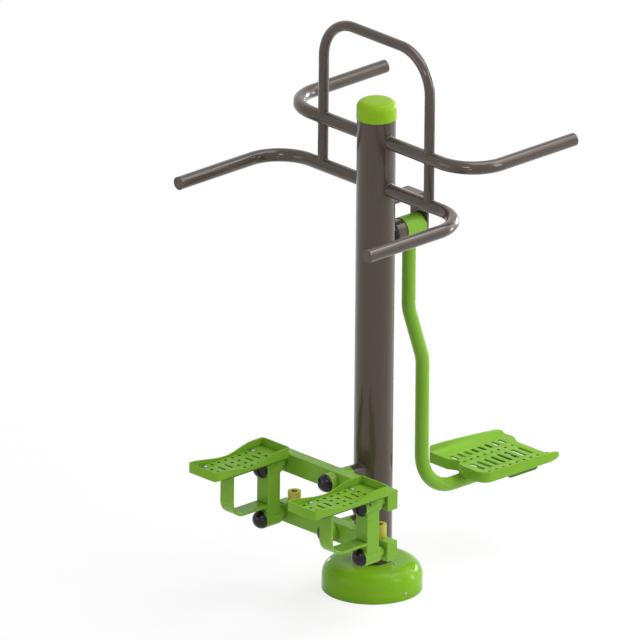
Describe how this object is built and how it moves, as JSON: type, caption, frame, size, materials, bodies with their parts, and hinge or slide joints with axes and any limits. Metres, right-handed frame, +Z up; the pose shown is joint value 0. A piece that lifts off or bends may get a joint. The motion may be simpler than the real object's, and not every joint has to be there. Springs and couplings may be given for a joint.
{
  "type": "outdoor stepper and surf trainer",
  "caption": "Outdoor fitness station on a post: a pedal stepper on a parallel linkage, a side-swinging foot platform behind it, and bent tube handles.",
  "frame": {"origin": "centre of the base flange's underside, on the ground", "axes": "+Z up along the post; +X to the stepper user's right-hand pedal as seen from behind the user; +Y from the stepper towards the swinging platform"},
  "size_m": [1.0174, 1.377, 2.115],
  "materials": {
    "brown_paint": "glossy powder coat, brown-grey",
    "green_paint": "glossy powder coat, yellow-green",
    "green_tread": "cast aluminium, powder coated yellow-green",
    "green_cover": "moulded plastic, glossy yellow-green",
    "green_cap": "moulded plastic, glossy yellow-green",
    "galvanised_steel": "hot-dip galvanised",
    "zinc_fastener": "bright zinc plated",
    "bright_steel": "turned steel",
    "bearing_steel": "ground bearing steel with dark seals",
    "dark_plastic": "moulded nylon, near black, satin gloss",
    "yellow_rubber": "solid polyurethane, olive yellow"
  },
  "bodies": {
    "frame": {"base_flange": "galvanised_steel", "base_gussets": "galvanised_steel", "base_cover_front": "green_cover", "base_cover_rear": "green_cover", "cover_screws": "zinc_fastener", "post": "brown_paint", "post_cap": "green_cap", "upper_handle_left": "brown_paint", "upper_handle_right": "brown_paint", "lower_handle_left": "brown_paint", "lower_handle_right": "brown_paint", "handle_end_plugs": "brown_paint", "hoop_arch": "brown_paint", "hoop_struts": "brown_paint", "stepper_hubs": "brown_paint", "stepper_axles": "bright_steel", "stepper_axle_nuts": "zinc_fastener", "swing_hub": "brown_paint", "swing_axle": "bright_steel", "swing_axle_nut": "zinc_fastener", "swing_bracket": "brown_paint"},
    "upper_beam": {"upper_beam_tube": "green_paint", "upper_beam_end_plates": "green_paint", "upper_beam_sleeve": "green_paint", "upper_beam_bearings": "bearing_steel", "upper_beam_cap": "dark_plastic", "upper_end_axles": "bright_steel", "upper_end_nuts": "zinc_fastener"},
    "lower_beam": {"lower_beam_tube": "green_paint", "lower_beam_end_plates": "green_paint", "lower_beam_sleeve": "green_paint", "lower_beam_bearings": "bearing_steel", "lower_beam_cap": "dark_plastic", "lower_end_axles": "bright_steel", "lower_end_nuts": "zinc_fastener", "buffers": "yellow_rubber", "buffer_screws": "zinc_fastener"},
    "left_step": {"left_link_tube": "green_paint", "left_link_sleeves": "green_paint", "left_bearings": "bearing_steel", "left_caps": "dark_plastic", "left_strap": "green_paint", "left_pedal_plate": "green_paint", "left_pedal": "green_tread", "left_pedal_bolts": "zinc_fastener"},
    "right_step": {"right_link_tube": "green_paint", "right_link_sleeves": "green_paint", "right_bearings": "bearing_steel", "right_caps": "dark_plastic", "right_strap": "green_paint", "right_pedal_plate": "green_paint", "right_pedal": "green_tread", "right_pedal_bolts": "zinc_fastener"},
    "swing": {"swing_sleeve": "green_paint", "swing_bearings": "bearing_steel", "swing_arm": "green_paint", "swing_arm_plug": "dark_plastic", "platform_plate": "green_paint", "platform": "green_tread", "platform_bolts": "zinc_fastener"}
  },
  "joints": [
    {"name": "upper_beam_turn", "type": "hinge", "parent": "frame", "child": "upper_beam", "pos_m": [0, -0.176, 0.455], "axis": [0, 1, 0], "range_deg": [-50, 50]},
    {"name": "lower_beam_turn", "type": "hinge", "parent": "frame", "child": "lower_beam", "pos_m": [0, -0.176, 0.263], "axis": [0, 1, 0], "range_deg": [-50, 50]},
    {"name": "left_step_turn", "type": "hinge", "parent": "upper_beam", "child": "left_step", "pos_m": [-0.254, -0.27, 0.455], "axis": [0, 1, 0], "range_deg": [-50, 50]},
    {"name": "right_step_turn", "type": "hinge", "parent": "upper_beam", "child": "right_step", "pos_m": [0.254, -0.27, 0.455], "axis": [0, 1, 0], "range_deg": [-50, 50]},
    {"name": "swing_turn", "type": "hinge", "parent": "frame", "child": "swing", "pos_m": [0, 0.167, 1.327], "axis": [0, 1, 0], "range_deg": [-35, 35]}
  ],
  "couplings": [
    {"joint": "lower_beam_turn", "follows": "upper_beam_turn", "ratio": 1},
    {"joint": "left_step_turn", "follows": "upper_beam_turn", "ratio": -1},
    {"joint": "right_step_turn", "follows": "upper_beam_turn", "ratio": -1}
  ]
}
